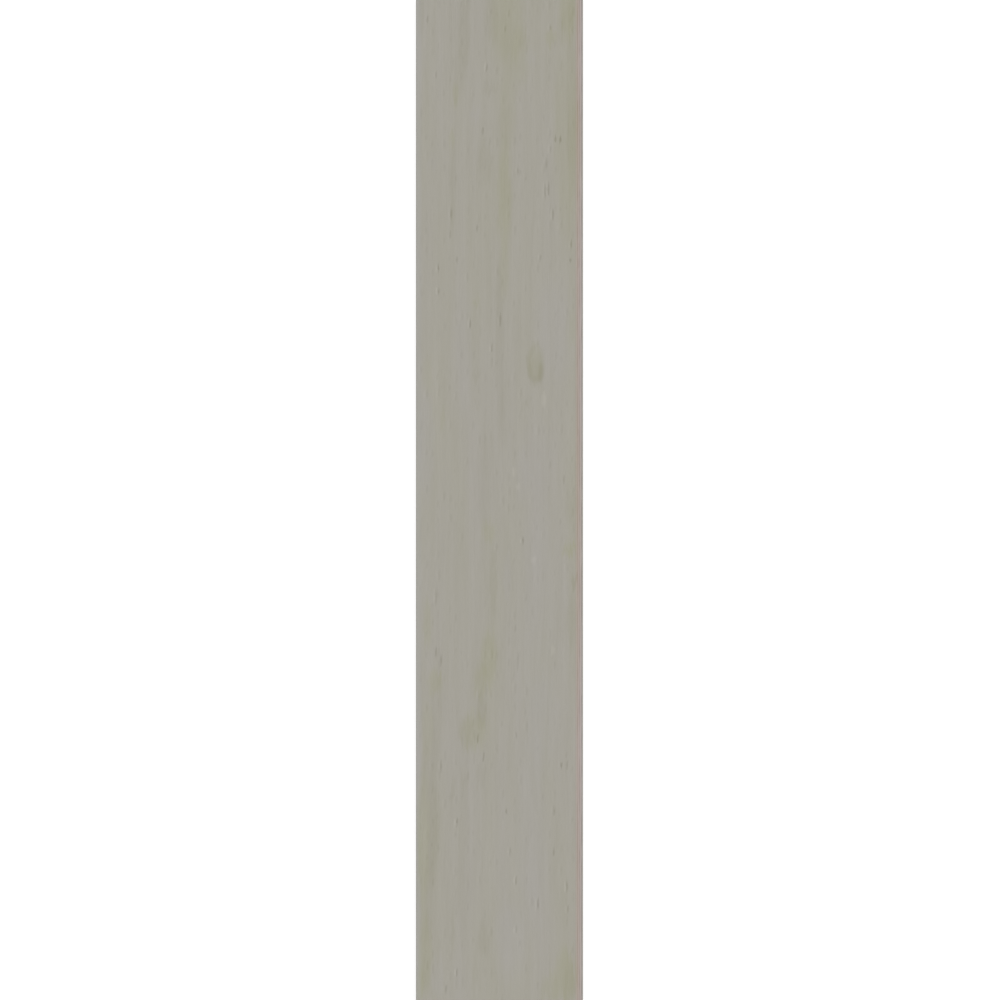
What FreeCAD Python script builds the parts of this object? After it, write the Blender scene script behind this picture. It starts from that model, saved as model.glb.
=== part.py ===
import FreeCAD, Part
import os

import Sketcher

# Wood look porcelain plank tile, pressed and fired as one piece, then ground square on its four sides.
# It lies face up on its back: X runs across the plank, Y along it and Z up out of the face.
# The origin is the middle of the underside. Lengths are in millimetres and angles in degrees.

# The sizes that a tile maker would set, each with a name of its own.
SIZES = {
    # The ground outline, and the thickness from the ribs of the back up to the face.
    "tile_width": 200.0,
    "tile_length": 1200.0,
    "tile_thickness": 9.0,
    # The small 45 degree bevels that are ground round the face and round the back.
    "face_arris": 0.8,
    "back_arris": 0.5,
    # The key of the back: rows of shallow cells that the bedding mortar fills, with ribs between them.
    # The walls of a cell lean outwards by the draft, so that the fresh tile comes off the die.
    "cell_width": 24.0,
    "cell_length": 24.0,
    "cell_depth": 0.7,
    "cell_draft": 30.0,
    "rib_width": 3.0,
}

# The plain rim round the cells is at least this many ribs wide.
RIM_RIBS = 2

# Two heights nearer than this are the same height.
SAME = 1e-6

NODE = "plank_tile"


def make_sheet(doc):
    """The driving dimensions as a spreadsheet, with a name, a value and an alias on each row."""
    sheet = doc.addObject("Spreadsheet::Sheet", "sizes")
    for row, (name, value) in enumerate(SIZES.items(), start=1):
        sheet.set(f"A{row}", name)
        sheet.set(f"B{row}", str(value))
        sheet.setAlias(f"B{row}", name)
    doc.recompute()


def origin_part(body, role):
    """One of the body's own origin planes or axes, found by its role."""
    return next(part for part in body.Origin.OriginFeatures if part.Role == role)


def underside_sketch(body, name):
    """An empty sketch on the plane of the underside."""
    sketch = body.newObject("Sketcher::SketchObject", name)
    sketch.AttachmentSupport = [(origin_part(body, "XY_Plane"), "")]
    sketch.MapMode = "FlatFace"
    return sketch


def add_rectangle(sketch):
    """
    Four joined lines, level and upright: bottom, right, top and left.
    Returns three points, each as (line, its end): the origin of the sketch, which counts as line -1,
    and the lower left and upper right corners of the rectangle.
    """
    corners = [FreeCAD.Vector(x, y, 0) for x, y in ((0, 0), (1, 0), (1, 1), (0, 1))]
    for start, end in zip(corners, corners[1:] + corners[:1]):
        sketch.addGeometry(Part.LineSegment(start, end))
    for line in range(4):
        sketch.addConstraint(Sketcher.Constraint("Coincident", line, 2, (line + 1) % 4, 1))
        sketch.addConstraint(Sketcher.Constraint("Horizontal" if line % 2 == 0 else "Vertical", line))
    return (-1, 1), (0, 1), (2, 1)


def add_distance(sketch, name, direction, start, end, expression):
    """A named distance from one point to another, bound to the spreadsheet. A point is (line, its end)."""
    index = sketch.addConstraint(Sketcher.Constraint(direction, *start, *end, 1.0))
    sketch.renameConstraint(index, name)
    sketch.setExpression(f"Constraints.{name}", expression)


def key_row(tile_size, cell_size):
    """Expressions for one row of cells: how many fit, their pitch and the length of the row."""
    pitch = f"(sizes.{cell_size} + sizes.rib_width)"
    rims = f"{2 * RIM_RIBS} * sizes.rib_width"
    count = f"floor((sizes.{tile_size} - {rims} + sizes.rib_width) / {pitch})"
    return count, pitch, f"({count} * {pitch} - sizes.rib_width)"


def press_slab(body):
    """The plain slab: the ground outline, centred on the origin, with the thickness of the tile."""
    sketch = underside_sketch(body, "outline")
    origin, low_corner, high_corner = add_rectangle(sketch)
    add_distance(sketch, "width", "DistanceX", low_corner, high_corner, "sizes.tile_width")
    add_distance(sketch, "length", "DistanceY", low_corner, high_corner, "sizes.tile_length")
    sketch.addConstraint(Sketcher.Constraint("Symmetric", *low_corner, *high_corner, *origin))
    slab = body.newObject("PartDesign::Pad", "slab")
    slab.Profile = sketch
    slab.setExpression("Length", "sizes.tile_thickness")
    body.Document.recompute()
    return slab


def edges_at(feature, height):
    """Names of the edges of a feature that lie at one height."""
    return [
        f"Edge{number}"
        for number, edge in enumerate(feature.Shape.Edges, start=1)
        if all(abs(corner.Z - height) < SAME for corner in edge.Vertexes)
    ]


def grind_arris(body, name, feature, height, size):
    """A bevel of equal sides all round the slab, along its edges at one height."""
    arris = body.newObject("PartDesign::Chamfer", name)
    arris.Base = (feature, edges_at(feature, height))
    arris.setExpression("Size", f"sizes.{size}")
    body.Document.recompute()
    return arris


def press_key(body):
    """The cells of the back: one drafted cell in the corner of the grid, repeated across and along."""
    across, pitch_across, row_across = key_row("tile_width", "cell_width")
    along, pitch_along, row_along = key_row("tile_length", "cell_length")
    sketch = underside_sketch(body, "cell_mouth")
    origin, low_corner, high_corner = add_rectangle(sketch)
    add_distance(sketch, "width", "DistanceX", low_corner, high_corner, "sizes.cell_width")
    add_distance(sketch, "length", "DistanceY", low_corner, high_corner, "sizes.cell_length")
    add_distance(sketch, "left", "DistanceX", low_corner, origin, f"{row_across} / 2")
    add_distance(sketch, "near", "DistanceY", low_corner, origin, f"{row_along} / 2")
    cell = body.newObject("PartDesign::Pocket", "cell")
    cell.Profile = sketch
    cell.Reversed = True
    cell.setExpression("Length", "sizes.cell_depth")
    cell.setExpression("TaperAngle", "-sizes.cell_draft")
    body.Document.recompute()
    key = body.newObject("PartDesign::LinearPattern", "key")
    key.Originals = [cell]
    key.Direction = (origin_part(body, "X_Axis"), [""])
    key.Mode = "Spacing"
    key.setExpression("Offset", pitch_across)
    key.setExpression("Occurrences", across)
    key.Direction2 = (origin_part(body, "Y_Axis"), [""])
    key.Mode2 = "Spacing"
    key.setExpression("Offset2", pitch_along)
    key.setExpression("Occurrences2", along)
    key.Refine = False
    body.Tip = key
    body.Document.recompute()
    return cell, key


def make_tile(doc):
    """The whole tile as one body: slab, ground edges and keyed back."""
    body = doc.addObject("PartDesign::Body", NODE)
    body.Label = NODE
    slab = press_slab(body)
    face_arris = grind_arris(body, "ground_face_edge", slab, SIZES["tile_thickness"], "face_arris")
    back_arris = grind_arris(body, "ground_back_edge", face_arris, 0.0, "back_arris")
    cell, key = press_key(body)
    for before, after in ((slab, face_arris), (face_arris, back_arris), (back_arris, cell), (cell, key)):
        if after.Shape.Volume >= before.Shape.Volume:
            raise RuntimeError(f"{after.Name} took nothing off {before.Name}")
    return body


def check(doc, bodies):
    """Stops if a feature failed, or if the shape of a body isn't one sound solid."""
    for feature in doc.Objects:
        if {"Invalid", "Error"} & set(feature.State):
            raise RuntimeError(f"{feature.Name} failed: {feature.State}")
    for body in bodies:
        if body.Shape.isNull() or not body.Shape.isValid() or len(body.Shape.Solids) != 1:
            raise RuntimeError(f"{body.Label} is not one sound solid")


def main():
    doc = FreeCAD.newDocument("plank_tile_model")
    make_sheet(doc)
    tile = make_tile(doc)
    doc.recompute()
    check(doc, [tile])
    os.makedirs("parts", exist_ok=True)
    tile.Shape.exportStep(f"parts/{tile.Label}.step")
    box = tile.Shape.BoundBox
    print(f"{tile.Label}: {box.XLength:.2f} x {box.YLength:.2f} x {box.ZLength:.2f} mm,")
    print(f"{tile.Shape.Volume / 1000:.1f} cubic centimetres, {len(tile.Shape.Faces)} faces")


main()
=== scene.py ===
"""
Wood look porcelain plank tile: the fired plank with its printed face, ground edges and keyed back.

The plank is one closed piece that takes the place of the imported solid. X runs across it, Y along it
and Z up out of its face, in metres. What repeats, such as the cells of the back, is modelled once.
"""

import math

import bmesh
import bpy
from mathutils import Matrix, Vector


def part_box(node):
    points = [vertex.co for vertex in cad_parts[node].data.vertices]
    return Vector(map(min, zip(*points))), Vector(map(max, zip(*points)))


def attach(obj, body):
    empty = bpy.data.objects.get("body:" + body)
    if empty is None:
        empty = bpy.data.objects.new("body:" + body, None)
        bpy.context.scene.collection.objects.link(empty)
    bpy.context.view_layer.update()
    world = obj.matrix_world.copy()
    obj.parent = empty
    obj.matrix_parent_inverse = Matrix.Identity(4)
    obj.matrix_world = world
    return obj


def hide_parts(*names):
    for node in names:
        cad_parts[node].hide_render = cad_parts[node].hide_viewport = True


bl_info = {
    "name": "Wood look porcelain plank tile",
    "version": (1, 0, 0),
    "blender": (4, 5, 0),
    "location": "View3D > Sidebar > Plank Tile",
    "description": "Models a fired porcelain plank with a wood look face, ground edges and a keyed back",
    "category": "Add Mesh",
}

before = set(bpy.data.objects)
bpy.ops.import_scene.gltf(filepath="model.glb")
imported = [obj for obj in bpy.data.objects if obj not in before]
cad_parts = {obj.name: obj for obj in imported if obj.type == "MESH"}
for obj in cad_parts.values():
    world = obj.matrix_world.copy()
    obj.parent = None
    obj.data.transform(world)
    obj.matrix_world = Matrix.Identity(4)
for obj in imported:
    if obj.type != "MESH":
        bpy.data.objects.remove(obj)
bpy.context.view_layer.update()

NODE = "plank_tile"
LOW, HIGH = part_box(NODE)

MM = 0.001

# Two heights nearer than this are the same height.
SAME_HEIGHT = 0.01 * MM

# Faces that meet at less than this angle are shaded as one.
SMOOTH_ANGLE = math.radians(30)

# The plain rim round the cells of the back is at least this many ribs wide.
RIM_RIBS = 2

# How the plank lies in the photo, in its pixels: the picture's side, and the plank's two long sides.
PHOTO_SIDE_PX = 1000
LEFT_SIDE_PX = 416
RIGHT_SIDE_PX = 583


def linear_rgb(hex_colour):
    """An sRGB colour written as six hex digits, as the linear red, green and blue that nodes take."""
    parts = [int(hex_colour[i : i + 2], 16) / 255 for i in (0, 2, 4)]
    return [c / 12.92 if c <= 0.04045 else ((c + 0.055) / 1.055) ** 2.4 for c in parts]


def length_property(name, description, metres):
    """A length in metres that the panel shows under its name."""
    return bpy.props.FloatProperty(name=name, description=description, default=metres, unit="LENGTH")


def colour_property(name, description, hex_colour):
    """A colour, given as six hex digits, that the panel shows under its name."""
    return bpy.props.FloatVectorProperty(
        name=name,
        description=description,
        default=linear_rgb(hex_colour),
        subtype="COLOR",
        size=3,
        min=0.0,
        max=1.0,
    )


class PlankTileSizes(bpy.types.PropertyGroup):
    """Real sizes of the plank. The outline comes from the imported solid."""

    width: length_property("Width", "Across the plank, between its ground sides", HIGH.x - LOW.x)
    length: length_property("Length", "Along the plank, between its ground ends", HIGH.y - LOW.y)
    thickness: length_property("Thickness", "From the ribs of the back to the face", HIGH.z - LOW.z)
    face_arris: length_property("Face arris", "Bevel ground round the face", 0.8 * MM)
    back_arris: length_property("Back arris", "Bevel ground round the back", 0.5 * MM)
    cell: length_property("Cell", "Mouth of a square cell of the back", 24.0 * MM)
    cell_depth: length_property("Cell depth", "From the ribs to the floor of a cell", 0.7 * MM)
    cell_draft: bpy.props.FloatProperty(
        name="Cell draft",
        description="How far the walls of a cell lean outwards",
        default=math.radians(30),
        subtype="ANGLE",
    )
    cell_corner: length_property("Cell corner", "Radius of a cell's corners in plan", 2.4 * MM)
    rib: length_property("Rib", "Width of the ribs between the cells", 3.0 * MM)
    grain_depth: length_property("Grain depth", "Deepest valley of the embossed grain", 0.16 * MM)
    grain_columns: bpy.props.IntProperty(
        name="Grain columns",
        description="Steps of the face across the grain",
        default=400,
        min=10,
    )
    grain_rows: bpy.props.IntProperty(
        name="Grain rows",
        description="Steps of the face along the grain, a multiple of three",
        default=150,
        min=3,
    )


class PlankTileColours(bpy.types.PropertyGroup):
    """Colours of the print, of the light and shade painted along its long sides and at its pores, the
    porcelain body and the back.
    """

    ground: colour_property("Ground", "Greige ground of the print", "A5A298")
    olive: colour_property("Olive", "Olive brown streaks of the print", "A2A08F")
    shade: colour_property("Shade", "Neutral dark streaks of the print", "A09D91")
    lavender: colour_property("Lavender", "Pale lavender grey bands of the print", "A6A39C")
    # The pores' colour is partly their print and partly painted shade in their grooves, and also paints the
    # dark lines of shade down the right side.
    pore_and_painted_shade: colour_property("Pore", "Short dark pores of the print", "9B988D")
    # The pale colour beside each pore is a painted highlight on its groove's lit wall; it also colours the
    # pale flecks with no pore.
    fleck_and_painted_highlight: colour_property("Fleck", "Pale flecks beside the pores", "ACA99F")
    # The cool and warm edge colours are painted light and shade of an edge rolling away: paler and cooler
    # at the edges, warmer and darker down the right.
    painted_edge_light: colour_property("Cool edge", "Tint of the print along the left side", "A6A5A0")
    painted_edge_shade: colour_property("Warm edge", "Tint of the print along the right side", "A99C92")
    body: colour_property("Body", "Porcelain body where it is ground", "98948A")
    back: colour_property("Back", "Porcelain body as it is pressed and fired", "9F9A8F")
    wash: colour_property("Kiln wash", "White wash left on the ribs by the kiln's rollers", "CDCAC3")


class PlankTileStudio(bpy.types.PropertyGroup):
    """The white floor, the lamps and the camera."""

    floor: length_property("Floor", "Side of the square floor", 30.0)
    sky: bpy.props.FloatProperty(
        name="Sky",
        description="Light from all round, where 1 alone shows a colour as it is written",
        default=0.621,
    )
    key: bpy.props.FloatProperty(
        name="Key",
        description="Share of the light on a level face that the key lamp gives",
        default=0.2,
    )
    key_colour: colour_property("Key colour", "Slightly warm white of the key lamp", "FFFCF8")
    fill: bpy.props.FloatProperty(
        name="Fill",
        description="Share of the light on a level face that the fill lamp gives",
        default=0.1,
    )
    fill_colour: colour_property("Fill colour", "White of the fill lamp", "FFFFFF")
    lens: bpy.props.FloatProperty(
        name="Lens",
        description="Focal length, long enough that the plank's sides look straight down",
        default=135.0,
        unit="CAMERA",
    )


# Modelling


def deselect_everything():
    """Leaves edit mode, with no object selected, so that the next operator acts on its own alone."""
    if bpy.context.mode != "OBJECT":
        bpy.ops.object.mode_set(mode="OBJECT")
    bpy.ops.object.select_all(action="DESELECT")


def select_parts(kind, test):
    """In edit mode, selects the verts, edges or faces that pass a test, and nothing else."""
    bpy.ops.mesh.select_mode(type={"verts": "VERT", "edges": "EDGE", "faces": "FACE"}[kind])
    bpy.ops.mesh.select_all(action="DESELECT")
    mesh = bpy.context.edit_object.data
    shape = bmesh.from_edit_mesh(mesh)
    for part in getattr(shape, kind):
        if test(part):
            part.select_set(True)
    bmesh.update_edit_mesh(mesh)


def extend_rim(drop, half_before, half_after):
    """Extrudes the selected rim down, and takes it from one half width and half length to another."""
    bpy.ops.mesh.extrude_region_move(TRANSFORM_OT_translate={"value": (0, 0, -drop)})
    growth = [after / before for after, before in zip(half_after, half_before)]
    bpy.ops.transform.resize(value=(*growth, 1), center_override=(0, 0, 0))


def model_face_and_sides(sizes):
    """The face as a fine grid, with its arris, ground sides and lower arris extruded from its rim."""
    side = (sizes.width / 2, sizes.length / 2)
    face = [half - sizes.face_arris for half in side]
    back = [half - sizes.back_arris for half in side]
    deselect_everything()
    bpy.ops.mesh.primitive_grid_add(
        x_subdivisions=sizes.grain_columns,
        y_subdivisions=sizes.grain_rows,
        size=2,
        enter_editmode=True,
        location=(0, 0, sizes.thickness),
    )
    tile = bpy.context.object
    bpy.ops.transform.resize(value=(*face, 1), center_override=(0, 0, sizes.thickness))
    select_parts("edges", lambda edge: edge.is_boundary)
    extend_rim(sizes.face_arris, face, side)
    extend_rim(sizes.thickness - sizes.face_arris - sizes.back_arris, side, side)
    extend_rim(sizes.back_arris, side, back)
    bpy.ops.object.mode_set(mode="OBJECT")
    return tile


def cells_that_fit(length, sizes):
    """How many cells, with a rib between each two, fit along a length inside its two rims."""
    room = length - 2 * RIM_RIBS * sizes.rib + sizes.rib
    return math.floor(room / (sizes.cell + sizes.rib))


def model_key(sizes):
    """
    The cells of the back: one drafted cell with round corners, repeated across and along. The cell's own
    face is the only one larger than a quarter of its mouth.
    """
    pitch = sizes.cell + sizes.rib
    across = cells_that_fit(sizes.width, sizes)
    along = cells_that_fit(sizes.length, sizes)
    first = (-(across - 1) * pitch / 2, -(along - 1) * pitch / 2, 0)
    quarter_cell = (sizes.cell / 2) ** 2
    deselect_everything()
    bpy.ops.mesh.primitive_plane_add(size=pitch, enter_editmode=True, location=first)
    key = bpy.context.object
    bpy.ops.mesh.flip_normals()
    bpy.ops.mesh.inset(thickness=sizes.rib / 2, depth=0)
    bpy.ops.mesh.bevel(affect="VERTICES", offset=sizes.cell_corner, segments=3)
    select_parts("faces", lambda face: face.calc_area() > quarter_cell)
    lean = sizes.cell_depth * math.tan(sizes.cell_draft)
    bpy.ops.mesh.inset(thickness=lean, depth=-sizes.cell_depth)
    bpy.ops.object.mode_set(mode="OBJECT")
    for axis, count in enumerate((across, along)):
        row = key.modifiers.new("Row", "ARRAY")
        row.count = count
        row.use_relative_offset = False
        row.use_constant_offset = True
        row.constant_offset_displace = [pitch if i == axis else 0 for i in range(3)]
        row.use_merge_vertices = True
        row.merge_threshold = sizes.rib / 100
        bpy.ops.object.modifier_apply(modifier=row.name)
    return key


def model_plank(sizes):
    """One closed plank: the face with its sides, the key, and the level rim of the back between them."""
    key = model_key(sizes)
    tile = model_face_and_sides(sizes)
    key.select_set(True)
    tile.select_set(True)
    bpy.context.view_layer.objects.active = tile
    bpy.ops.object.join()
    tile.name = tile.data.name = "fired_plank"
    bpy.ops.object.mode_set(mode="EDIT")
    select_parts("edges", lambda edge: edge.is_boundary)
    bpy.ops.mesh.fill(use_beauty=True)
    bpy.ops.mesh.select_all(action="SELECT")
    bpy.ops.mesh.normals_make_consistent(inside=False)
    select_parts("edges", lambda edge: not edge.is_manifold)
    still_open = tile.data.total_edge_sel
    bpy.ops.object.mode_set(mode="OBJECT")
    bpy.ops.object.transform_apply(location=True, rotation=True, scale=True)
    if still_open:
        raise RuntimeError(f"the plank isn't closed: {still_open} of its edges are open")
    return tile


# Nodes


def add_node(tree, kind, *values, outlet=0, more=None, **settings):
    """Adds a node with its settings, sets or links its sockets, and returns one of its outlets."""
    node = tree.nodes.new(kind)
    for name, value in settings.items():
        setattr(node, name, value)
    sockets = {number: value for number, value in enumerate(values) if value is not None}
    for key, value in {**sockets, **(more or {})}.items():
        if isinstance(value, bpy.types.NodeSocket):
            tree.links.new(value, node.inputs[key])
        else:
            node.inputs[key].default_value = value
    return node.outputs[outlet] if node.outputs else None


# How wide and how long the fibres of each pattern are, in millimetres. The slow bend moves all the grain,
# the valleys are pressed into the face, and from hair to drift they are the grain of the print. Frayed
# fibres end its streaks, torn ones its pores, and broken ones part the painted shade lines along its right
# side. The scratches of the grinding wheels are really a tenth of a millimetre wide, and drawn coarse
# enough to show.
SLOW_BEND = (130.0, 260.0)
BROAD_VALLEY = (9.0, 320.0)
FINE_VALLEY = (2.2, 95.0)
HAIR = (0.45, 16.0)
LINE = (1.7, 34.0)
BAND = (8.0, 120.0)
DRIFT = (36.0, 300.0)
FRAYED = (2.4, 30.0)
TORN = (0.8, 9.0)
BROKEN = (2.4, 26.0)
SCRATCH = (0.9, 30.0)

# How wide the spots of the bare body are, in millimetres: its mottle where it is ground, and the clouds
# and the grit of its pressed back.
MOTTLE = 20 / 7
CLOUD = 100 / 3
GRIT = 2.0

# How far the noise of one seed lies from that of the next, and the stretch in which nearly all values of a
# noise lie.
SEED_STEP = (13.7, 5.3)
NOISE_SPAN = (0.3, 0.7)


def fibres(tree, place, size, detail, seed):
    """A noise drawn out along the plank, whose fibres are about so wide and long in millimetres."""
    squeeze = (1 / size[0], 1 / size[1], 0)
    away = (seed * SEED_STEP[0], seed * SEED_STEP[1], 0)
    drawn_out = add_node(tree, "ShaderNodeVectorMath", place, squeeze, away, operation="MULTIPLY_ADD")
    more = {"Scale": 1.0, "Detail": detail, "Roughness": 0.55}
    return add_node(tree, "ShaderNodeTexNoise", drawn_out, noise_dimensions="2D", more=more)


def moved(tree, place, across, along):
    """A place moved by two numbers of millimetres, across the plank and along it."""
    by = add_node(tree, "ShaderNodeCombineXYZ", across, along)
    return add_node(tree, "ShaderNodeVectorMath", place, by, operation="ADD")


def wandering(tree, place):
    """The place, moved across by a few millimetres, so that the grain bends slowly along the plank."""
    slow = fibres(tree, place, SLOW_BEND, 1.0, seed=2)
    return moved(tree, place, add_node(tree, "ShaderNodeMapRange", slow, 0.25, 0.75, -4.0, 4.0), 0.0)


def ragged(tree, place, size, across, along, seed):
    """The place, moved fibre by fibre by up to so many millimetres, so that marks end raggedly."""
    fray = fibres(tree, place, size, 1.0, seed)
    moves = []
    for most in (across, along):
        moves.append(add_node(tree, "ShaderNodeMapRange", fray, *NOISE_SPAN, -most, most))
    return moved(tree, place, *moves)


def grain_valleys(tree, place):
    """From 0 on the ridges to 1 in the deepest valleys of the embossed grain, at a place in millimetres."""
    place = wandering(tree, place)
    broad = fibres(tree, place, BROAD_VALLEY, 2.0, seed=3)
    broad = add_node(tree, "ShaderNodeMapRange", broad, 0.40, 0.66, 0.0, 0.55)
    fine = fibres(tree, place, FINE_VALLEY, 1.0, seed=4)
    return add_node(tree, "ShaderNodeMapRange", fine, 0.48, 0.74, broad, 1.0)


def carve_grain(tile, sizes):
    """Presses the grain into the face. The valleys go down from it, so that no ridge stands proud."""
    tree = bpy.data.node_groups.new("embossed_grain", "GeometryNodeTree")
    for direction in ("INPUT", "OUTPUT"):
        tree.interface.new_socket("Mesh", in_out=direction, socket_type="NodeSocketGeometry")
    mesh = add_node(tree, "NodeGroupInput")
    position = add_node(tree, "GeometryNodeInputPosition")
    height = add_node(tree, "ShaderNodeSeparateXYZ", position, outlet=2)
    level = sizes.thickness - SAME_HEIGHT
    on_face = add_node(tree, "ShaderNodeMath", height, level, operation="GREATER_THAN")
    place = add_node(tree, "ShaderNodeVectorMath", position, operation="SCALE", more={"Scale": 1 / MM})
    valleys = grain_valleys(tree, place)
    drop = add_node(tree, "ShaderNodeMath", valleys, -sizes.grain_depth, operation="MULTIPLY")
    down = add_node(tree, "ShaderNodeCombineXYZ", 0.0, 0.0, drop)
    more = {"Selection": on_face, "Offset": down}
    add_node(tree, "NodeGroupOutput", add_node(tree, "GeometryNodeSetPosition", mesh, more=more))
    carving = tile.modifiers.new("Embossed grain", "NODES")
    carving.node_group = tree
    bpy.context.view_layer.objects.active = tile
    bpy.ops.object.modifier_apply(modifier=carving.name)


# Materials

# The figure of the printed wood, listed: where each soft streak or blotch has its middle, how far it
# reaches to each side and to each end, and how strong it is. All but the strength in millimetres.
# A strength below 0 makes the place paler.
OLIVE_STREAKS = [
    (9, 576, 28, 74, 0.6),
    (25, 530, 15, 46, 0.5),
    (10, 470, 13, 70, 0.4),
    (6, 366, 11, 85, 0.8),
    (6, 276, 8, 45, 0.5),
    (82, 586, 15, 46, 0.9),
    (80, 440, 20, 175, 0.6),
    (88, 60, 8, 660, 0.25),
    (86, 205, 9, 30, 0.4),
    (62, 554, 11, 14, 0.7),
    (-13, -38, 12, 20, 0.7),
    (-13, -190, 13, 48, 0.8),
    (-31, -277, 22, 30, 0.8),
    (-24, -218, 10, 30, 0.6),
    (83, -59, 11, 11, 1.0),
    (-77, -218, 13, 18, 0.8),
    (-86, -150, 7, 42, 0.7),
    (-86, 150, 7, 34, 0.3),
    (-86, -275, 9, 50, 0.5),
    (-91, -405, 9, 115, 0.75),
    (-97, -400, 5, 85, 0.5),
    (-95, -580, 6, 26, 0.7),
    (-89, -545, 11, 66, 0.7),
    (79, -572, 19, 46, 0.9),
    (60, -586, 14, 26, 0.7),
    (-53, 486, 6, 18, 0.7),
    (-57, 432, 5, 18, 0.6),
    (-28, 238, 6, 9, 0.5),
    (-68, 96, 4, 16, 0.4),
]
DARK_STREAKS = [
    (-42, 562, 10, 66, 1.0),
    (-58, 560, 9, 50, 0.4),
    (-94, 582, 6, 34, 0.6),
    (-9, 577, 11, 38, 0.6),
    (-50, 510, 15, 40, 0.45),
    (87, 475, 9, 150, 0.75),
    (86, 585, 9, 22, 0.5),
    (-56, 372, 5, 75, 0.8),
    (-17, 404, 12, 38, 0.7),
    (-11, 492, 12, 12, 0.6),
    (29, 554, 9, 16, 0.5),
    (0, 186, 7, 150, 0.8),
    (-18, 20, 13, 110, 0.4),
    (8, 110, 9, 60, 0.35),
    (-28, 150, 6, 11, 0.6),
    (-28, 115, 6, 7, 0.5),
    (-8, -100, 7, 66, 0.8),
    (-21, -214, 9, 26, 0.45),
    (-21, -254, 9, 32, 1.15),
    (-39, -278, 13, 28, 0.6),
    (-23, -330, 9, 20, 0.6),
    (-43, -430, 9, 190, 0.4),
    (86, -146, 8, 40, 0.6),
    (89, -98, 4, 14, 1.3),
    (-77, -150, 7, 60, 0.2),
    (-75, -250, 9, 100, 0.7),
    (-80, -385, 9, 95, 1.0),
    (-85, -470, 8, 60, 0.6),
    (-86, -318, 8, 46, 0.5),
    (-86, -516, 6, 30, 0.6),
    (-19, -528, 11, 28, 0.6),
    (-56, -518, 3, 36, 0.6),
    (-29, -562, 3, 32, 0.5),
    (-55, -346, 4, 16, 0.6),
    (-43, -338, 7, 9, 0.5),
    (84, -580, 10, 36, 0.7),
    (31, 115, 9, 7, 0.5),
    (85, -12, 9, 16, 0.4),
    (74, 566, 7, 20, 0.4),
    (9, 446, 26, 30, 0.25),
    (-8, 390, 8, 24, 0.3),
    (60, 390, 8, 24, 0.25),
    (-87, -567, 8, 32, 0.45),
    (74, -150, 8, 36, 0.3),
    (85, 120, 9, 150, -0.3),
    (-94, -90, 6, 48, -0.4),
    (-78, 120, 10, 80, -0.25),
    (-94, -390, 6, 34, -0.3),
    (74, -449, 8, 30, -0.3),
    (22, -545, 16, 60, -0.3),
    (28, -335, 12, 40, -0.25),
    (4, 550, 14, 40, 0.3),
    (8, 455, 11, 40, 0.15),
    (8, 350, 9, 75, 0.25),
    (83, 570, 12, 32, 0.25),
    (82, -568, 15, 36, 0.25),
    (-13, -196, 12, 44, 0.3),
    (46, 194, 6, 16, -0.25),
]
LAVENDER_STREAKS = [
    (66, 202, 32, 80, 0.75),
    (46, 46, 28, 60, 0.35),
    (46, -150, 26, 190, 0.5),
    (51, -265, 26, 80, 0.8),
    (37, -395, 25, 150, 0.75),
    (13, -526, 26, 60, 0.9),
    (-42, 190, 12, 110, 0.45),
    (-87, 66, 13, 90, 1.1),
    (27, 30, 10, 40, 0.5),
    (9, -92, 7, 40, 0.7),
    (37, 530, 9, 13, 0.7),
    (-29, 462, 10, 9, 0.6),
    (-81, 402, 9, 12, 0.5),
    (-74, -572, 9, 34, 0.7),
]

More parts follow.
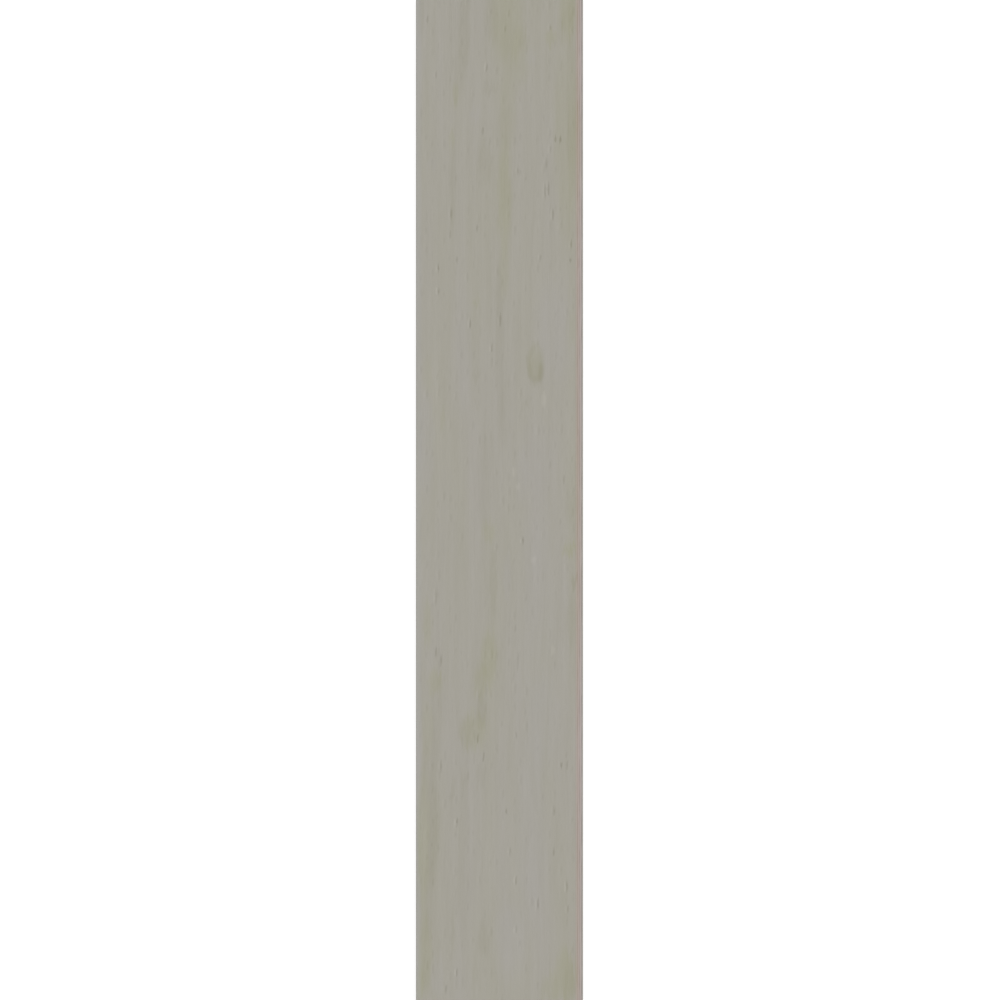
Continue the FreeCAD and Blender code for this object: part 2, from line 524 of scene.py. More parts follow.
# The short pores of the printed wood, listed in millimetres: the middle, half the length, how dark the pore
# is, its dark partly print and partly painted shade in its groove, and how strong the painted highlight is
# that lies close by its left side, where the groove's wall would catch the light.
PORES = [
    (-86, 576, 6, 1.0, 0.0),
    (61, 566, 6, 0.9, 0.4),
    (7, 564, 7, 0.8, 0.3),
    (11, 582, 5, 0.6, 0.3),
    (-15, 518, 6, 1.0, 1.0),
    (-76, 509, 5, 0.7, 0.5),
    (-20, 442, 6, 1.1, 0.0),
    (22, 394, 6, 1.1, 0.7),
    (-27, 325, 5, 0.9, 0.0),
    (-58, 342, 9, 0.9, 0.3),
    (-59, 318, 6, 0.7, 0.0),
    (55, 370, 13, 1.0, 0.6),
    (59, 372, 12, 1.2, 0.9),
    (56, 402, 9, 0.8, 0.3),
    (61, 420, 7, 0.7, 0.8),
    (67, 432, 6, 1.2, 0.0),
    (73, 432, 6, 1.3, 0.0),
    (64, 342, 9, 1.0, 1.0),
    (86, 306, 7, 1.2, 0.7),
    (-73, 278, 6, 1.2, 1.0),
    (-73, 250, 6, 1.2, 1.0),
    (-35, 211, 6, 1.2, 1.0),
    (1, 216, 10, 1.0, 0.3),
    (-9, 182, 6, 0.8, 0.7),
    (-51, 288, 5, 0.9, 0.0),
    (49, 290, 5, 0.8, 0.7),
    (85, 288, 5, 1.3, 0.0),
    (77, 24, 6, 0.8, 0.0),
    (28, -49, 5, 1.4, 1.1),
    (-70, -192, 9, 1.1, 0.0),
    (-76, -182, 7, 0.9, 0.0),
    (-76, -115, 14, 0.7, 0.6),
    (19, -154, 5, 0.8, 0.0),
    (22, -192, 15, 0.6, 0.0),
    (-26, -286, 7, 1.2, 0.0),
    (20, -281, 7, 0.9, 0.3),
    (-70, -319, 9, 1.0, 0.4),
    (-19, -307, 7, 1.1, 0.0),
    (-51, -386, 6, 1.3, 1.0),
    (8, -374, 6, 1.2, 0.0),
    (65, -372, 7, 0.9, 0.4),
    (74, -317, 6, 1.4, 0.3),
    (81, -317, 6, 0.8, 0.0),
    (65, -422, 6, 1.1, 0.0),
    (13, -421, 6, 0.9, 0.8),
    (20, -456, 7, 1.0, 1.0),
    (46, -484, 9, 1.1, 0.9),
    (81, -463, 9, 0.9, 1.0),
    (20, -514, 6, 0.8, 0.8),
    (-51, -566, 6, 1.3, 0.9),
    (-64, -586, 6, 1.1, 0.7),
    (82, -490, 6, 0.8, 0.5),
]

# Pale flecks with no pore, in millimetres: the middle, half the length and how pale.
PALE_FLECKS = [
    (18, 34, 8, 0.8),
    (22, 16, 6, 0.8),
    (41, -72, 6, 0.7),
    (64, -180, 8, 0.8),
    (53, 120, 12, 0.9),
]

# Half the width of a pore and of the painted highlight beside it, and of a pale fleck with no pore, and how
# far that painted highlight lies to the left of its pore, in millimetres.
PORE_HALF_WIDTH = 1.6
FLECK_HALF_WIDTH = 4.0
HIGHLIGHT_ASIDE = 2.5

# The boxes that hold the chance pores: their width and length in millimetres, and a height that a flat
# pattern doesn't use. Then the least and most of half the width and half the length of such a pore, and
# how dark it is at most.
CHANCE_BOX = (7.0, 22.0, 1.0)
CHANCE_HALF_WIDTH = (1.4, 2.6)
CHANCE_HALF_LENGTH = (4.0, 9.0)
CHANCE_DARKEST = 0.42

# The one knot: an olive oval that darkens towards its foot, with a darker heart there and a dark ring that
# leans to its lower left, where it is strongest.
KNOT = (43, 164, 13, 29, 0.55)
KNOT_FOOT = (44, 155, 14, 25, 0.8)
KNOT_HEART = (49, 153, 5, 16, 0.75)
KNOT_RING = 1.0
RING_LEANS_TO = (-0.6, -0.8, 0)

# Where the ring lies, as a share of the way out to which its unevenness adds about a quarter, and how far
# to both sides of that it starts to fade and ends.
RING_AT = 0.92
RING_FADE = (0.05, 0.3)

# A mark keeps its full strength this far out, as a share of its reach, and fades from there.
MARK_CORE = 0.4

# The painted light and shade along the two long sides of the face, in millimetres from the middle of the
# plank: where each begins and where it is full. Paler, cooler painted light lies along both edges, and
# warmer, darker painted shade along the right one. The fine dark lines of painted shade down the right side
# begin where the warm shade is full, deepen further out, and lie two half steps apart. The warm shade fades
# a little again towards the edge.
EDGE_LIGHT_LEFT = (-92.0, -99.4)
EDGE_LIGHT_RIGHT = (92.5, 99.0)
EDGE_SHADE_RIGHT = (90.0, 93.4)
EDGE_SHADE_FADES = (96.5, 99.0)
LINES_DEEPEN = (95.0, 98.2)
HALF_LINE_STEP = 1.2

# The pale engobe under the glaze shows as a line in the arris round the face: how high its foot and its top
# begin and how soft they are, in millimetres, and how strong it is.
ENGOBE_FOOT = 8.25
ENGOBE_TOP = 8.5
ENGOBE_SOFT = 0.1
ENGOBE_SHARE = 0.25

# How strongly the hairs, lines and bands of the grain darken the print, and what is taken off again. A
# noise is a half on average, so that is about half of them together, and a half for the olive drift.
HAIR_SHARE = 0.9
LINE_SHARE = 0.3
BAND_SHARE = 1.2
GRAIN_LEVEL = 1.15
DRIFT_LEVEL = 0.5

# The finest relief, in millimetres: how far the lines of the print, the scratches of the ground sides and
# the grit of the back rise and sink, and how far the hairs and pores of the print sink.
LINE_RELIEF = 0.02
SCRATCH_RELIEF = 0.04
GRIT_RELIEF = 0.06
HAIR_SINKS = 0.05
PORE_SINKS = 0.06

# How rough the surfaces are: the glaze from its ridges to its valleys, with what a pore adds, and the bare
# body from its smoothest to its roughest spots, where it is ground and where it is pressed.
GLAZE_ROUGHNESS = (0.52, 0.66)
PORE_ROUGHNESS = 0.2
GROUND_ROUGHNESS = (0.7, 0.82)
PRESSED_ROUGHNESS = (0.78, 0.9)

# Glaze and fired porcelain are both glassy, and bend light about as much as window glass.
PORCELAIN_IOR = 1.5


def mark_group():
    """A node group that lays one soft oval mark, drawn out along the grain, over the marks before it."""
    tree = bpy.data.node_groups.new("wood_mark", "ShaderNodeTree")
    for name in ("Place", "Middle", "Reach"):
        tree.interface.new_socket(name, in_out="INPUT", socket_type="NodeSocketVector")
    for name in ("Strength", "Before"):
        tree.interface.new_socket(name, in_out="INPUT", socket_type="NodeSocketFloat")
    tree.interface.new_socket("Marks", in_out="OUTPUT", socket_type="NodeSocketFloat")
    place, middle, reach, strength, before = add_node(tree, "NodeGroupInput").node.outputs[:5]
    away = add_node(tree, "ShaderNodeVectorMath", place, middle, operation="SUBTRACT")
    share = add_node(tree, "ShaderNodeVectorMath", away, reach, operation="DIVIDE")
    distance = add_node(tree, "ShaderNodeVectorMath", share, operation="LENGTH", outlet="Value")
    fade = (distance, MARK_CORE, 1.0, strength, 0.0)
    mark = add_node(tree, "ShaderNodeMapRange", *fade, interpolation_type="SMOOTHSTEP")
    add_node(tree, "NodeGroupOutput", add_node(tree, "ShaderNodeMath", before, mark, operation="ADD"))
    return tree


def lay_marks(tree, group, place, marks, laid=0.0):
    """Lays marks one over the other and returns how strong they are together at each place."""
    for x, y, half_width, half_length, strength in marks:
        middle, reach = (x, y, 0), (half_width, half_length, 1)
        laid = add_node(tree, "ShaderNodeGroup", place, middle, reach, strength, laid, node_tree=group)
    return laid


def knot_ring(tree, place, laid):
    """Lays the uneven dark ring of the knot over the dark marks before it."""
    x, y, half_width, half_length = KNOT[:4]
    middle, reach = (x, y, 0), (half_width, half_length, 1)
    away = add_node(tree, "ShaderNodeVectorMath", place, middle, operation="SUBTRACT")
    share = add_node(tree, "ShaderNodeVectorMath", away, reach, operation="DIVIDE")
    distance = add_node(tree, "ShaderNodeVectorMath", share, operation="LENGTH", outlet="Value")
    uneven = add_node(tree, "ShaderNodeTexNoise", share, noise_dimensions="2D", more={"Scale": 2.5})
    distance = add_node(tree, "ShaderNodeMath", uneven, 0.5, distance, operation="MULTIPLY_ADD")
    off = add_node(tree, "ShaderNodeMath", distance, RING_AT, operation="SUBTRACT")
    off = add_node(tree, "ShaderNodeMath", off, operation="ABSOLUTE")
    dot = {"operation": "DOT_PRODUCT", "outlet": "Value"}
    side = add_node(tree, "ShaderNodeVectorMath", share, RING_LEANS_TO, **dot)
    depth = add_node(tree, "ShaderNodeMapRange", side, -0.8, 0.8, 0.4 * KNOT_RING, KNOT_RING)
    fade = (off, *RING_FADE, depth, 0.0)
    ring = add_node(tree, "ShaderNodeMapRange", *fade, interpolation_type="SMOOTHSTEP")
    return add_node(tree, "ShaderNodeMath", laid, ring, operation="ADD")


def scattered_pores(tree, group, place, pores, flecks):
    """
    Adds faint chance pores, their dark partly print and partly painted shade, each with a painted highlight
    at its left, to those listed. The face is divided into long boxes, each column of them begins elsewhere,
    and about half of them hold one.
    """
    width, length = CHANCE_BOX[:2]
    column = add_node(tree, "ShaderNodeSeparateXYZ", place, outlet=0)
    column = add_node(tree, "ShaderNodeMath", column, width, operation="DIVIDE")
    column = add_node(tree, "ShaderNodeMath", column, operation="FLOOR")
    column = add_node(tree, "ShaderNodeTexWhiteNoise", noise_dimensions="1D", more={"W": column})
    boxes = moved(tree, place, 0.0, add_node(tree, "ShaderNodeMath", column, length, operation="MULTIPLY"))
    boxes = add_node(tree, "ShaderNodeVectorMath", boxes, CHANCE_BOX, operation="DIVIDE")
    corner = add_node(tree, "ShaderNodeVectorMath", boxes, operation="FLOOR")
    chance = add_node(tree, "ShaderNodeTexWhiteNoise", corner, outlet="Color", noise_dimensions="2D")
    share = add_node(tree, "ShaderNodeVectorMath", boxes, operation="FRACTION")
    spread, least = (0.3, 0.4, 0), (0.4, 0.3, 0)
    middle = add_node(tree, "ShaderNodeVectorMath", chance, spread, least, operation="MULTIPLY_ADD")
    away = add_node(tree, "ShaderNodeVectorMath", share, middle, operation="SUBTRACT")
    away = add_node(tree, "ShaderNodeVectorMath", away, CHANCE_BOX, operation="MULTIPLY")
    odds, size, deep = add_node(tree, "ShaderNodeSeparateXYZ", chance).node.outputs
    half_width = add_node(tree, "ShaderNodeMapRange", size, 0.0, 1.0, *CHANCE_HALF_WIDTH)
    half_length = add_node(tree, "ShaderNodeMapRange", odds, 0.0, 1.0, *CHANCE_HALF_LENGTH)
    reach = add_node(tree, "ShaderNodeCombineXYZ", half_width, half_length, 1.0)
    deep = add_node(tree, "ShaderNodeMapRange", deep, 0.5, 1.0, 0.0, CHANCE_DARKEST)
    # How strong the painted highlight beside a chance pore is.
    pale = add_node(tree, "ShaderNodeMath", deep, size, operation="MULTIPLY")
    pores = add_node(tree, "ShaderNodeGroup", away, (0, 0, 0), reach, deep, pores, node_tree=group)
    aside = (-HIGHLIGHT_ASIDE, 0, 0)
    return pores, add_node(tree, "ShaderNodeGroup", away, aside, reach, pale, flecks, node_tree=group)


def lay_tints(tree, ground, tints):
    """Adds the difference of each tint from the ground, times a share that may be below 0 or above 1."""
    colour = tuple(ground)
    for share, tint in tints:
        change = tuple(a - b for a, b in zip(tint, ground))
        colour = add_node(tree, "ShaderNodeVectorMath", share, change, colour, operation="MULTIPLY_ADD")
    return colour


def start_material(name):
    """A new material with an empty tree, and its places on the plank in millimetres."""
    material = bpy.data.materials.new(name)
    material.use_nodes = True
    tree = material.node_tree
    tree.nodes.clear()
    position = add_node(tree, "ShaderNodeTexCoord", outlet="Object")
    place = add_node(tree, "ShaderNodeVectorMath", position, operation="SCALE", more={"Scale": 1 / MM})
    return material, tree, place


def finish_material(tree, colour, roughness, height):
    """The surface itself, with a bump whose height is in millimetres."""
    normal = add_node(tree, "ShaderNodeBump", more={"Distance": MM, "Height": height})
    look = {"Base Color": colour, "Roughness": roughness, "IOR": PORCELAIN_IOR, "Normal": normal}
    add_node(tree, "ShaderNodeOutputMaterial", add_node(tree, "ShaderNodeBsdfPrincipled", more=look))


def lay_figure(tree, group, place):
    """Lays the streaks and the knot, and returns how strong the olive, dark and lavender ones are."""
    frayed = ragged(tree, place, FRAYED, 1.5, 7.0, seed=5)
    olive = lay_marks(tree, group, frayed, OLIVE_STREAKS)
    olive = lay_marks(tree, group, place, [KNOT], olive)
    dark = lay_marks(tree, group, frayed, DARK_STREAKS)
    dark = lay_marks(tree, group, place, [KNOT_FOOT, KNOT_HEART], dark)
    dark = knot_ring(tree, place, dark)
    lavender = lay_marks(tree, group, frayed, LAVENDER_STREAKS)
    return olive, dark, lavender


def lay_pores(tree, group, place):
    """Lays the pores, their dark partly painted shade, with the painted highlights beside them and the pale
    flecks, from the lists and by chance, and returns how strong both are.
    """
    pores = [(x, y, PORE_HALF_WIDTH, half, deep) for x, y, half, deep, pale in PORES]
    # A painted highlight beside each pore that has one, then the pale flecks with no pore.
    flecks = [(x - HIGHLIGHT_ASIDE, y, PORE_HALF_WIDTH, half, pale) for x, y, half, deep, pale in PORES if pale]
    flecks += [(x, y, FLECK_HALF_WIDTH, half, pale) for x, y, half, pale in PALE_FLECKS]
    torn = ragged(tree, place, TORN, 0.5, 2.5, seed=11)
    pores = lay_marks(tree, group, torn, pores)
    flecks = lay_marks(tree, group, torn, flecks)
    return scattered_pores(tree, group, torn, pores, flecks)


def paint_edge_light_and_shade(tree, place):
    """How strong the painted light and shade along the face's long sides are: the paler, cooler light, the
    warmer, darker shade on the right and its dark lines.
    """
    across = add_node(tree, "ShaderNodeSeparateXYZ", place, outlet=0)
    cool = add_node(tree, "ShaderNodeMapRange", across, *EDGE_LIGHT_LEFT, 0.0, 1.0)
    paler = add_node(tree, "ShaderNodeMapRange", across, *EDGE_LIGHT_RIGHT, 0.0, 1.3)
    cool = add_node(tree, "ShaderNodeMath", cool, paler, operation="ADD")
    warm = add_node(tree, "ShaderNodeMapRange", across, *EDGE_SHADE_RIGHT, 0.0, 1.0)
    deeper = add_node(tree, "ShaderNodeMapRange", across, *LINES_DEEPEN, warm, 1.9)
    lines = add_node(tree, "ShaderNodeMath", across, -EDGE_SHADE_RIGHT[1], operation="ADD")
    lines = add_node(tree, "ShaderNodeMath", lines, HALF_LINE_STEP, operation="PINGPONG")
    lines = add_node(tree, "ShaderNodeMapRange", lines, 0.0, HALF_LINE_STEP, 1.03, -0.77)
    lines = add_node(tree, "ShaderNodeMath", lines, deeper, operation="MULTIPLY")
    broken = fibres(tree, place, BROKEN, 1.0, seed=12)
    broken = add_node(tree, "ShaderNodeMapRange", broken, *NOISE_SPAN, 0.3, 1.7)
    lines = add_node(tree, "ShaderNodeMath", lines, broken, operation="MULTIPLY")
    warm = add_node(tree, "ShaderNodeMapRange", across, *EDGE_SHADE_FADES, warm, 0.6)
    return cool, warm, lines


def printed_matt_glaze(colours):
    """
    A matt glaze over an inkjet print of pale limed wood, fired on a pressed relief of its grain.
    It gives the face its soft streaks, from lavender grey to olive, its short dark pores, partly printed
    and partly painted shade, each with a painted highlight beside it, the painted light and shade of a
    rolled edge along its long sides, and a sheen that stays dull except along the grain at a low angle.
    """
    material, tree, place = start_material("printed_matt_glaze")
    group = mark_group()
    flat = add_node(tree, "ShaderNodeVectorMath", place, (1, 1, 0), operation="MULTIPLY")
    olive, dark, lavender = lay_figure(tree, group, flat)
    pores, flecks = lay_pores(tree, group, flat)
    # The light and shade of an edge rolling away, painted on the flat face.
    cool, warm, lines = paint_edge_light_and_shade(tree, flat)

    # The grain itself, in hairs, lines and bands that are too faint to read one by one.
    grain = wandering(tree, flat)
    hair = fibres(tree, grain, HAIR, 1.0, seed=10)
    line = fibres(tree, grain, LINE, 1.0, seed=6)
    band = fibres(tree, grain, BAND, 2.0, seed=7)
    drift = fibres(tree, grain, DRIFT, 1.0, seed=8)
    for part, share in ((hair, HAIR_SHARE), (line, LINE_SHARE), (band, BAND_SHARE)):
        dark = add_node(tree, "ShaderNodeMath", part, share, dark, operation="MULTIPLY_ADD")
    dark = add_node(tree, "ShaderNodeMath", dark, GRAIN_LEVEL, operation="SUBTRACT")
    olive = add_node(tree, "ShaderNodeMath", drift, olive, operation="ADD")
    olive = add_node(tree, "ShaderNodeMath", olive, DRIFT_LEVEL, operation="SUBTRACT")
    tints = [
        (lavender, colours.lavender),
        (olive, colours.olive),
        (dark, colours.shade),
        # Painted light and shade along the long sides, with dark lines of painted shade down the right.
        (cool, colours.painted_edge_light),
        (warm, colours.painted_edge_shade),
        (lines, colours.pore_and_painted_shade),
        # The pores, their dark partly painted shade, then the painted highlights beside them and the pale
        # flecks.
        (pores, colours.pore_and_painted_shade),
        (flecks, colours.fleck_and_painted_highlight),
    ]
    colour = lay_tints(tree, colours.ground, tints)

    valley = grain_valleys(tree, place)
    rough = add_node(tree, "ShaderNodeMapRange", valley, 0.0, 1.0, *GLAZE_ROUGHNESS)
    rough = add_node(tree, "ShaderNodeMath", pores, PORE_ROUGHNESS, rough, operation="MULTIPLY_ADD")
    height = add_node(tree, "ShaderNodeMapRange", line, 0.0, 1.0, LINE_RELIEF, -LINE_RELIEF)
    for part, depth in ((hair, HAIR_SINKS), (pores, PORE_SINKS)):
        height = add_node(tree, "ShaderNodeMath", part, -depth, height, operation="MULTIPLY_ADD")
    finish_material(tree, colour, rough, height)
    return material


def ground_porcelain(colours):
    """
    The dense porcelain body, bare where wheels have ground the sides and their arrises.
    It is dead matt and a little mottled, with scratches along each side and one pale line under the glaze.
    """
    material, tree, place = start_material("ground_porcelain")
    x, y, z = add_node(tree, "ShaderNodeSeparateXYZ", place).node.outputs
    along = add_node(tree, "ShaderNodeMath", x, y, operation="ADD")
    side = add_node(tree, "ShaderNodeCombineXYZ", z, along)
    scratch = fibres(tree, side, SCRATCH, 2.0, seed=9)
    mottle = add_node(tree, "ShaderNodeTexNoise", place, more={"Scale": 1 / MOTTLE, "Detail": 3.0})
    tone = add_node(tree, "ShaderNodeMath", mottle, scratch, operation="ADD")
    tone = add_node(tree, "ShaderNodeMapRange", tone, 0.7, 1.3, -0.6, 0.6)
    foot, top = ENGOBE_FOOT + ENGOBE_SOFT, ENGOBE_TOP + ENGOBE_SOFT
    engobe = add_node(tree, "ShaderNodeMapRange", z, ENGOBE_FOOT, foot, 0.0, ENGOBE_SHARE)
    above = add_node(tree, "ShaderNodeMapRange", z, ENGOBE_TOP, top, 0.0, -ENGOBE_SHARE)
    engobe = add_node(tree, "ShaderNodeMath", engobe, above, operation="ADD")
    tints = [(tone, colours.back), (engobe, colours.wash)]
    colour = lay_tints(tree, colours.body, tints)
    rough = add_node(tree, "ShaderNodeMapRange", mottle, *NOISE_SPAN, *GROUND_ROUGHNESS)
    height = add_node(tree, "ShaderNodeMapRange", scratch, 0.0, 1.0, SCRATCH_RELIEF, -SCRATCH_RELIEF)
    finish_material(tree, colour, rough, height)
    return material


def pressed_back(colours):
    """
    The porcelain body as the die pressed it and the kiln fired it, never ground or glazed.
    It is dry and slightly uneven, and its ribs keep a patchy white wash that stops them from sticking to
    the kiln's rollers.
    """
    material, tree, place = start_material("pressed_back")
    z = add_node(tree, "ShaderNodeSeparateXYZ", place, outlet=2)
    cloud = add_node(tree, "ShaderNodeTexNoise", place, more={"Scale": 1 / CLOUD, "Detail": 4.0})
    grit = add_node(tree, "ShaderNodeTexNoise", place, more={"Scale": 1 / GRIT, "Detail": 3.0})
    tone = add_node(tree, "ShaderNodeMapRange", grit, *NOISE_SPAN, -0.5, 0.5)
    on_rib = add_node(tree, "ShaderNodeMapRange", z, 0.0, 0.3, 1.0, 0.0)
    patches = add_node(tree, "ShaderNodeMapRange", cloud, 0.35, 0.6, 0.25, 0.95)
    rubbed = add_node(tree, "ShaderNodeMapRange", grit, 0.35, 0.6, 0.6, 1.0)
    wash = add_node(tree, "ShaderNodeMath", on_rib, patches, operation="MULTIPLY")
    wash = add_node(tree, "ShaderNodeMath", wash, rubbed, operation="MULTIPLY")
    colour = lay_tints(tree, colours.back, [(tone, colours.body), (wash, colours.wash)])
    rough = add_node(tree, "ShaderNodeMapRange", grit, *NOISE_SPAN, *PRESSED_ROUGHNESS)
    height = add_node(tree, "ShaderNodeMapRange", grit, 0.0, 1.0, -GRIT_RELIEF, GRIT_RELIEF)
    finish_material(tree, colour, rough, height)
    return material


# Dressing the plank

# The flat layout of the plank for baked textures: the side of its square sheet, the margin between its
# islands and the step from one row of the sides to the next, in millimetres, then how much the back
# shrinks, and how much the sides shrink along and grow across. The face keeps its size. It and the back
# lie in three equal lengths beside each other, and the long sides in three rows each.
SHEET = 620.0
MARGIN = 5.0
ROW_STEP = 4 * MARGIN
BACK_SCALE = 0.48
SIDE_SCALE = (0.7, 1.5)
THIRDS = 3

# A surface faces up where its normal rises by more than this share.
FACING_UP = 0.8


def place_of(face, sizes):
    """Whether a face belongs to the printed face, to the back or to the ground sides."""
    x, y, z = face.calc_center_median()
    if face.normal.z > FACING_UP and z > sizes.thickness / 2:
        return "face"
    rim = (sizes.width / 2 - sizes.back_arris, sizes.length / 2 - sizes.back_arris)
    if z < 2 * sizes.cell_depth and abs(x) < rim[0] and abs(y) < rim[1]:
        return "back"
    return "side"


def lay_out(shape, sizes):
    """Lays the plank flat on the sheet, so that its baked textures use the whole of it."""
    sheet = shape.loops.layers.uv.new("OFBake")
    width, length = sizes.width / MM, sizes.length / MM
    third = length / THIRDS
    back_foot = 2 * MARGIN + third + 2 * MARGIN
    side_left = MARGIN + THIRDS * (width * BACK_SCALE + 2 * MARGIN) + 2 * MARGIN
    for face in shape.faces:
        middle = face.calc_center_median() / MM
        part = min(THIRDS - 1, max(0, int((middle.y + length / 2) / third)))
        place = place_of(face, sizes)
        if place == "side":
            long_side = abs(face.normal.x) > abs(face.normal.y)
            turn = 1 if (face.normal.x if long_side else -face.normal.y) > 0 else -1
            row = (part if long_side else THIRDS) + (0 if turn > 0 else THIRDS + 1)
        for loop in face.loops:
            x, y, z = loop.vert.co / MM
            y_up = y + length / 2 - part * third
            if place == "face":
                u, v = MARGIN + part * (width + MARGIN) + x + width / 2, MARGIN + y_up
            elif place == "back":
                u = MARGIN + (part * (width + 2 * MARGIN) + width / 2 - x) * BACK_SCALE
                v = back_foot + y_up * BACK_SCALE
            else:
                run = (y_up if turn > 0 else third - y_up) if long_side else x * turn + width / 2
                u = side_left + run * SIDE_SCALE[0]
                v = back_foot + MARGIN + row * ROW_STEP + z * SIDE_SCALE[1]
            loop[sheet].uv = (u / SHEET, v / SHEET)


def dress(tile, sizes, colours):
    """Gives each face of the plank its finish by where it lies, and lays the plank out for baking."""
    finishes = {"face": printed_matt_glaze, "side": ground_porcelain, "back": pressed_back}
    for finish in finishes.values():
        tile.data.materials.append(finish(colours))
    numbers = {place: number for number, place in enumerate(finishes)}
    shape = bmesh.new()
    shape.from_mesh(tile.data)
    for face in shape.faces:
        face.material_index = numbers[place_of(face, sizes)]
    lay_out(shape, sizes)
    shape.to_mesh(tile.data)
    shape.free()


# Operators

# The two lamps: how far each is turned about X and Y, how high it is drawn in metres, and how wide it looks
# from the plank.
KEY_TILT = (math.radians(-32), math.radians(30))
FILL_TILT = (math.radians(38), math.radians(-30))
LAMP_HEIGHT = 3.0
LAMP_WIDTH = math.radians(35)

# The floor is white paper a little below the plank. It gives back this share of the light, and the rest of
# its white is its own, so that the shadow on it stays faint.
FLOOR_GAP = 0.1 * MM
PAPER_SHARE = 0.35
PAPER_GLOW = 0.77

# The camera: the width of its sensor in millimetres, and how far it sees in metres.
SENSOR = 36.0
SIGHT = 100.0


class FiredPlank(bpy.types.Operator):
    """Models the fired plank tile with its printed face, ground sides and keyed back"""

    bl_idname = "mesh.fired_plank_add"
    bl_label = "Fired Plank"
    bl_options = {"REGISTER", "UNDO"}

    def execute(self, context):
        sizes = context.scene.plank_tile_sizes
        tile = model_plank(sizes)
        carve_grain(tile, sizes)
        dress(tile, sizes, context.scene.plank_tile_colours)
        bpy.ops.object.shade_smooth_by_angle(angle=SMOOTH_ANGLE)
        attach(tile, "root")
        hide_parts(NODE)
        return {"FINISHED"}


class PlankStudio(bpy.types.Operator):
    """Sets up the white floor, the soft lamps and the camera that looks straight down"""

    bl_idname = "scene.plank_studio_add"
    bl_label = "Studio"
    bl_options = {"REGISTER", "UNDO"}

    def execute(self, context):
        studio = context.scene.plank_tile_studio
        sizes = context.scene.plank_tile_sizes
        add_floor(studio)
        light_world(studio)
        add_lamp("key", studio.key, studio.key_colour, KEY_TILT)
        add_lamp("fill", studio.fill, studio.fill_colour, FILL_TILT)
        add_camera(studio, sizes)
        context.scene.view_settings.view_transform = "Standard"
        return {"FINISHED"}


def seen_directly(tree):
    """Is 1 for rays that show a backdrop: from the camera, in a reflection or through glass."""
    kinds = add_node(tree, "ShaderNodeLightPath").node.outputs
    direct, mirrored = kinds["Is Camera Ray"], kinds["Is Glossy Ray"]
    seen = add_node(tree, "ShaderNodeMath", direct, mirrored, operation="MAXIMUM")
    return add_node(tree, "ShaderNodeMath", seen, kinds["Is Transmission Ray"], operation="MAXIMUM")


def add_floor(studio):
    """A white floor that keeps the plank's soft shadow, and is clear from below and to the light."""
    deselect_everything()
    bpy.ops.mesh.primitive_plane_add(size=studio.floor, location=(0, 0, LOW.z - FLOOR_GAP))
    floor = bpy.context.object
    floor.name = "studio_floor"
    bpy.ops.object.transform_apply(location=True, rotation=True, scale=True)
    material = bpy.data.materials.new("white_paper")
    material.use_nodes = True
    tree = material.node_tree
    tree.nodes.clear()
    paper = add_node(tree, "ShaderNodeBsdfDiffuse", (PAPER_SHARE, PAPER_SHARE, PAPER_SHARE, 1))
    glow = add_node(tree, "ShaderNodeEmission", (1, 1, 1, 1), PAPER_GLOW)
    paper = add_node(tree, "ShaderNodeAddShader", paper, glow)
    clear = add_node(tree, "ShaderNodeBsdfTransparent")
    under = add_node(tree, "ShaderNodeNewGeometry", outlet="Backfacing")
    seen = seen_directly(tree)
    shown = add_node(tree, "ShaderNodeMath", seen, under, operation="SUBTRACT", use_clamp=True)
    surface = add_node(tree, "ShaderNodeMixShader", shown, clear, paper)
    add_node(tree, "ShaderNodeOutputMaterial", surface)
    floor.data.materials.append(material)


def light_world(studio):
    """Even light from all round, behind a white backdrop."""
    world = bpy.data.worlds.new("even_light")
    bpy.context.scene.world = world
    world.use_nodes = True
    tree = world.node_tree
    tree.nodes.clear()
    strength = add_node(tree, "ShaderNodeMapRange", seen_directly(tree), 0.0, 1.0, studio.sky, 1.0)
    surface = add_node(tree, "ShaderNodeBackground", (1, 1, 1, 1), strength)
    add_node(tree, "ShaderNodeOutputWorld", surface)


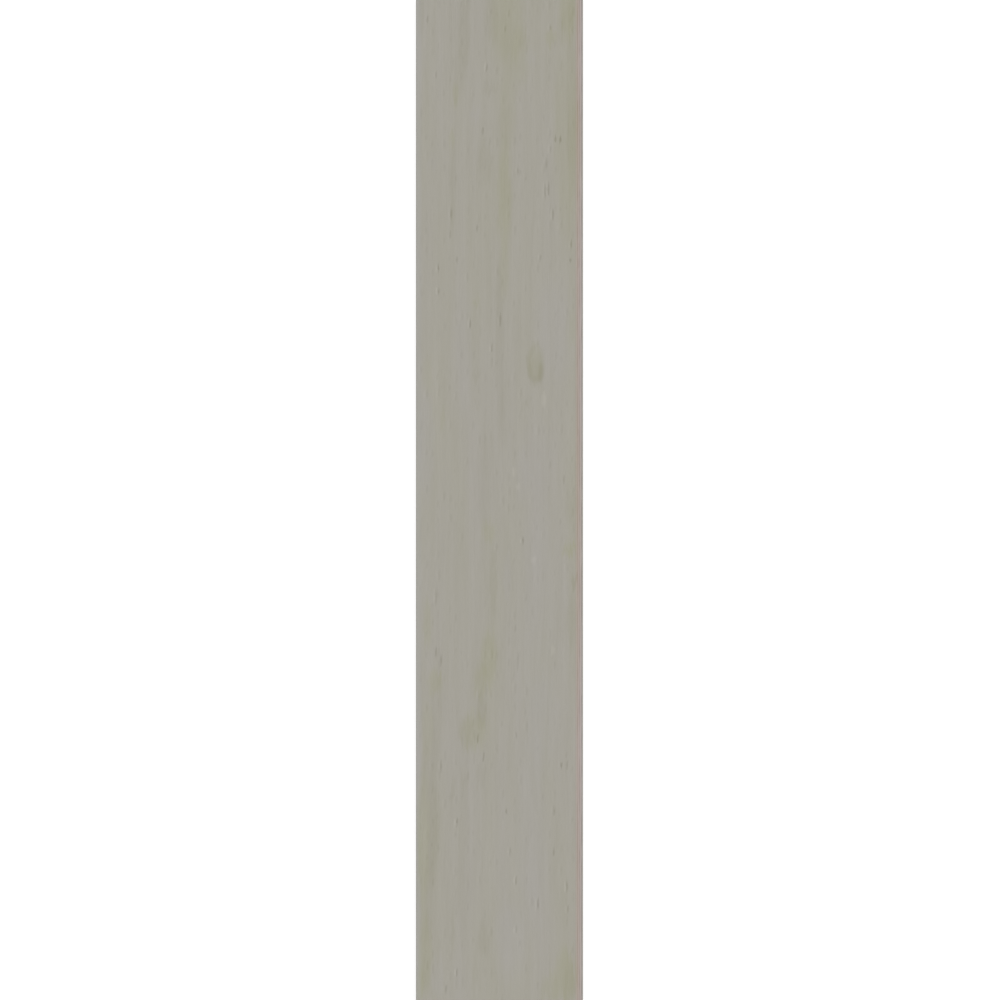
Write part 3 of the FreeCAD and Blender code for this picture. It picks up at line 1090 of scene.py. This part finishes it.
def add_lamp(name, share, colour, tilt):
    """A broad lamp far away, turned about X and Y, that gives a share of the light on a level face."""
    bpy.ops.object.light_add(type="SUN", location=(0, 0, LAMP_HEIGHT), rotation=(*tilt, 0))
    lamp = bpy.context.object
    lamp.name = lamp.data.name = f"{name}_lamp"
    lamp.data.color = colour
    lamp.data.energy = share * math.pi / (math.cos(tilt[0]) * math.cos(tilt[1]))
    lamp.data.angle = LAMP_WIDTH


def add_camera(studio, sizes):
    """The camera straight above, as far away as makes the plank as wide in the picture as in the photo."""
    pixel = sizes.width / (RIGHT_SIDE_PX - LEFT_SIDE_PX)
    distance = pixel * PHOTO_SIDE_PX * studio.lens / SENSOR
    middle = (PHOTO_SIDE_PX - LEFT_SIDE_PX - RIGHT_SIDE_PX) / 2 * pixel
    bpy.ops.object.camera_add(location=(middle, 0, sizes.thickness + distance), rotation=(0, 0, 0))
    camera = bpy.context.object
    camera.name = camera.data.name = "camera_above"
    camera.data.sensor_width = SENSOR
    camera.data.lens = studio.lens
    camera.data.clip_end = SIGHT
    bpy.context.scene.camera = camera


class PlankPanel(bpy.types.Panel):
    """Lists the plank's sizes, colours and studio, and the steps that build them"""

    bl_idname = "VIEW3D_PT_plank_tile"
    bl_label = "Plank Tile"
    bl_space_type = "VIEW_3D"
    bl_region_type = "UI"
    bl_category = "Plank Tile"

    def draw(self, context):
        for step, group in ((FiredPlank, "sizes"), (None, "colours"), (PlankStudio, "studio")):
            box = self.layout.box()
            settings = getattr(context.scene, f"plank_tile_{group}")
            for name in settings.__annotations__:
                box.prop(settings, name)
            if step:
                box.operator(step.bl_idname)


CLASSES = [PlankTileSizes, PlankTileColours, PlankTileStudio, FiredPlank, PlankStudio, PlankPanel]
GROUPS = {"sizes": PlankTileSizes, "colours": PlankTileColours, "studio": PlankTileStudio}


def register():
    """Adds the classes to Blender, and the three groups of settings to its scene."""
    for each in CLASSES:
        bpy.utils.register_class(each)
    for name, group in GROUPS.items():
        setattr(bpy.types.Scene, f"plank_tile_{name}", bpy.props.PointerProperty(type=group))


def unregister():
    """Takes the settings and the classes out again."""
    for name in GROUPS:
        delattr(bpy.types.Scene, f"plank_tile_{name}")
    for each in reversed(CLASSES):
        bpy.utils.unregister_class(each)


def main():
    """Builds the plank and the studio."""
    register()
    bpy.ops.mesh.fired_plank_add()
    bpy.ops.scene.plank_studio_add()


if __name__ == "__main__":
    main()
